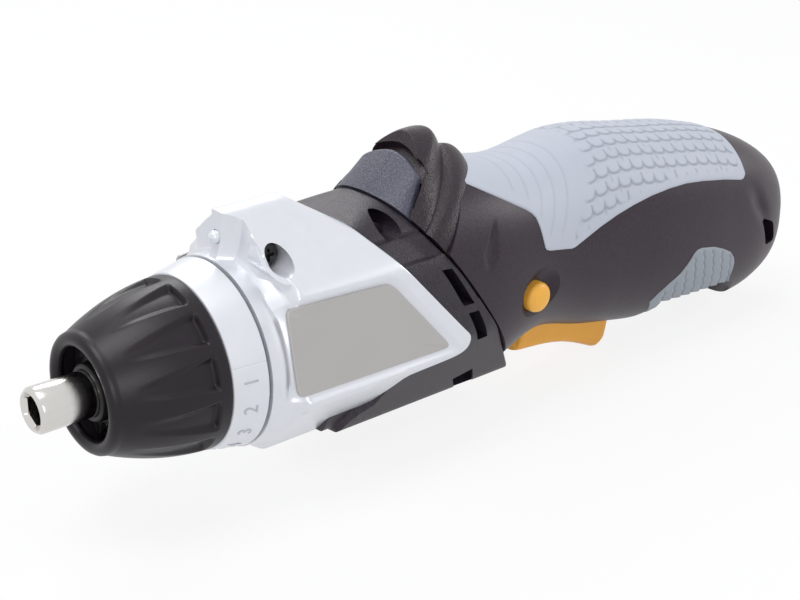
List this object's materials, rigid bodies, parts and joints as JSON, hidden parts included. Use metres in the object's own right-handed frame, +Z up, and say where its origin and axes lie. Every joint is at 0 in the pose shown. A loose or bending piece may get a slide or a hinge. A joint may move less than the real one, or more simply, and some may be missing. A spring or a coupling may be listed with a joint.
{
  "type": "cordless screwdriver",
  "caption": "Cordless screwdriver with a hex bit holder, a fluted torque collar, a lamp over the nose, a trigger and a handle that twists from straight to pistol.",
  "frame": {"origin": "centre of the mouth of the hex bit socket", "axes": "+X back along the spindle, +Z up with the handle straight, -Y the left side with the direction button's near end"},
  "size_m": [0.2404, 0.0512, 0.074],
  "materials": {
    "silver_paint": "satin metallic paint",
    "black_plastic": "fine spark texture",
    "dark_plastic": "satin",
    "label_plate": "plain satin, bare of lettering",
    "grip_rubber": "soft matte with raised scales",
    "pad_rubber": "soft matte with wavy rows",
    "yellow_plastic": "satin",
    "chrome": "turned and plated",
    "clear_lens": "clear",
    "steel": "machined",
    "bright_steel": "pressed",
    "board": "solder mask",
    "cell_can": "wrapped can",
    "lead": "insulation",
    "bronze": "sintered",
    "brush_carbon": "carbon"
  },
  "bodies": {
    "head": {"front_case_left": "silver_paint", "front_case_right": "silver_paint", "motor_case_left": "black_plastic", "motor_case_right": "black_plastic", "side_plate_left": "label_plate", "side_plate_right": "label_plate", "lamp": "clear_lens", "dust_cap": "dark_plastic", "nose_washer": "bright_steel", "nose_plate": "dark_plastic", "nose_screws": "steel", "gearbox_housing": "steel", "spindle_bush": "bronze", "gearbox_plate": "steel", "ring_gear": "steel", "clutch_balls": "steel", "thrust_washer": "steel", "clutch_spring": "steel", "motor_can": "steel", "motor_magnets": "steel", "motor_end_cap": "dark_plastic", "motor_brushes": "brush_carbon", "motor_leads": "lead", "case_screws": "steel"},
    "collar": {"collar_grip": "dark_plastic", "number_ring": "silver_paint"},
    "nut": {"adjusting_nut": "steel"},
    "spindle": {"spindle": "steel", "bit_holder": "chrome", "bit_magnet": "steel"},
    "first_stage": {"first_carrier": "steel"},
    "rotor": {"rotor_shaft": "steel", "armature": "steel", "commutator": "bronze"},
    "handle": {"handle_shell_left": "black_plastic", "handle_shell_right": "black_plastic", "soft_grip_left": "grip_rubber", "soft_grip_right": "grip_rubber", "finger_pad_left": "pad_rubber", "finger_pad_right": "pad_rubber", "pivot_cap": "black_plastic", "switch_body": "dark_plastic", "cells": "cell_can", "cell_straps": "bright_steel", "cell_leads": "lead", "handle_leads": "lead", "charge_board": "board", "charge_jack": "dark_plastic", "handle_screws": "steel"},
    "lock": {"lock_button": "black_plastic", "lock_spring": "steel"},
    "trigger": {"trigger": "yellow_plastic", "trigger_spring": "steel"},
    "direction": {"direction_button": "yellow_plastic"},
    "first_planet_1": {"first_planet_1": "steel"},
    "first_planet_2": {"first_planet_2": "steel"},
    "first_planet_3": {"first_planet_3": "steel"},
    "second_planet_1": {"second_planet_1": "steel"},
    "second_planet_2": {"second_planet_2": "steel"},
    "second_planet_3": {"second_planet_3": "steel"}
  },
  "joints": [
    {"name": "rotor_spin", "type": "hinge", "parent": "head", "child": "rotor", "pos_m": [0.07, 0, 0], "axis": [1, 0, 0], "continuous": true},
    {"name": "first_stage_spin", "type": "hinge", "parent": "head", "child": "first_stage", "pos_m": [0.0528, 0, 0], "axis": [1, 0, 0], "continuous": true},
    {"name": "spindle_spin", "type": "hinge", "parent": "head", "child": "spindle", "pos_m": [0, 0, 0], "axis": [1, 0, 0], "continuous": true},
    {"name": "first_planet_1_spin", "type": "hinge", "parent": "first_stage", "child": "first_planet_1", "pos_m": [0.0567, 0, 0.0081], "axis": [1, 0, 0], "continuous": true},
    {"name": "first_planet_2_spin", "type": "hinge", "parent": "first_stage", "child": "first_planet_2", "pos_m": [0.0567, -0.00701, -0.00405], "axis": [1, 0, 0], "continuous": true},
    {"name": "first_planet_3_spin", "type": "hinge", "parent": "first_stage", "child": "first_planet_3", "pos_m": [0.0567, 0.00701, -0.00405], "axis": [1, 0, 0], "continuous": true},
    {"name": "second_planet_1_spin", "type": "hinge", "parent": "spindle", "child": "second_planet_1", "pos_m": [0.0489, 0, 0.0081], "axis": [1, 0, 0], "continuous": true},
    {"name": "second_planet_2_spin", "type": "hinge", "parent": "spindle", "child": "second_planet_2", "pos_m": [0.0489, -0.00701, -0.00405], "axis": [1, 0, 0], "continuous": true},
    {"name": "second_planet_3_spin", "type": "hinge", "parent": "spindle", "child": "second_planet_3", "pos_m": [0.0489, 0.00701, -0.00405], "axis": [1, 0, 0], "continuous": true},
    {"name": "collar_turn", "type": "hinge", "parent": "head", "child": "collar", "pos_m": [0.03, 0, 0], "axis": [1, 0, 0], "range_deg": [0, 300]},
    {"name": "nut_slide", "type": "slide", "parent": "collar", "child": "nut", "axis": [1, 0, 0], "range_m": [0, 0.0045], "deforming": ["clutch_spring"]},
    {"name": "handle_twist", "type": "hinge", "parent": "head", "child": "handle", "pos_m": [0.10657, 0, 0.0029], "axis": [0.8192, 0, 0.5736], "range_deg": [0, 180]},
    {"name": "lock_slide", "type": "slide", "parent": "handle", "child": "lock", "axis": [0.8192, 0, 0.5736], "range_m": [0, 0.002], "stiffness_N_per_m": 600, "springref_m": -0.004, "deforming": ["lock_spring"]},
    {"name": "trigger_pull", "type": "slide", "parent": "handle", "child": "trigger", "axis": [0.225, 0, 0.9744], "range_m": [0, 0.004], "stiffness_N_per_m": 500, "springref_m": -0.004, "deforming": ["trigger_spring"]},
    {"name": "direction_slide", "type": "slide", "parent": "handle", "child": "direction", "axis": [0, 1, 0], "range_m": [-0.0025, 0.0025]}
  ],
  "couplings": [
    {"joint": "first_stage_spin", "follows": "rotor_spin", "ratio": 0.16667},
    {"joint": "spindle_spin", "follows": "rotor_spin", "ratio": 0.027778},
    {"joint": "first_planet_1_spin", "follows": "rotor_spin", "ratio": -0.41667},
    {"joint": "first_planet_2_spin", "follows": "rotor_spin", "ratio": -0.41667},
    {"joint": "first_planet_3_spin", "follows": "rotor_spin", "ratio": -0.41667},
    {"joint": "second_planet_1_spin", "follows": "rotor_spin", "ratio": -0.069444},
    {"joint": "second_planet_2_spin", "follows": "rotor_spin", "ratio": -0.069444},
    {"joint": "second_planet_3_spin", "follows": "rotor_spin", "ratio": -0.069444},
    {"joint": "nut_slide", "follows": "collar_turn", "m_per_rad": 0.000859}
  ]
}
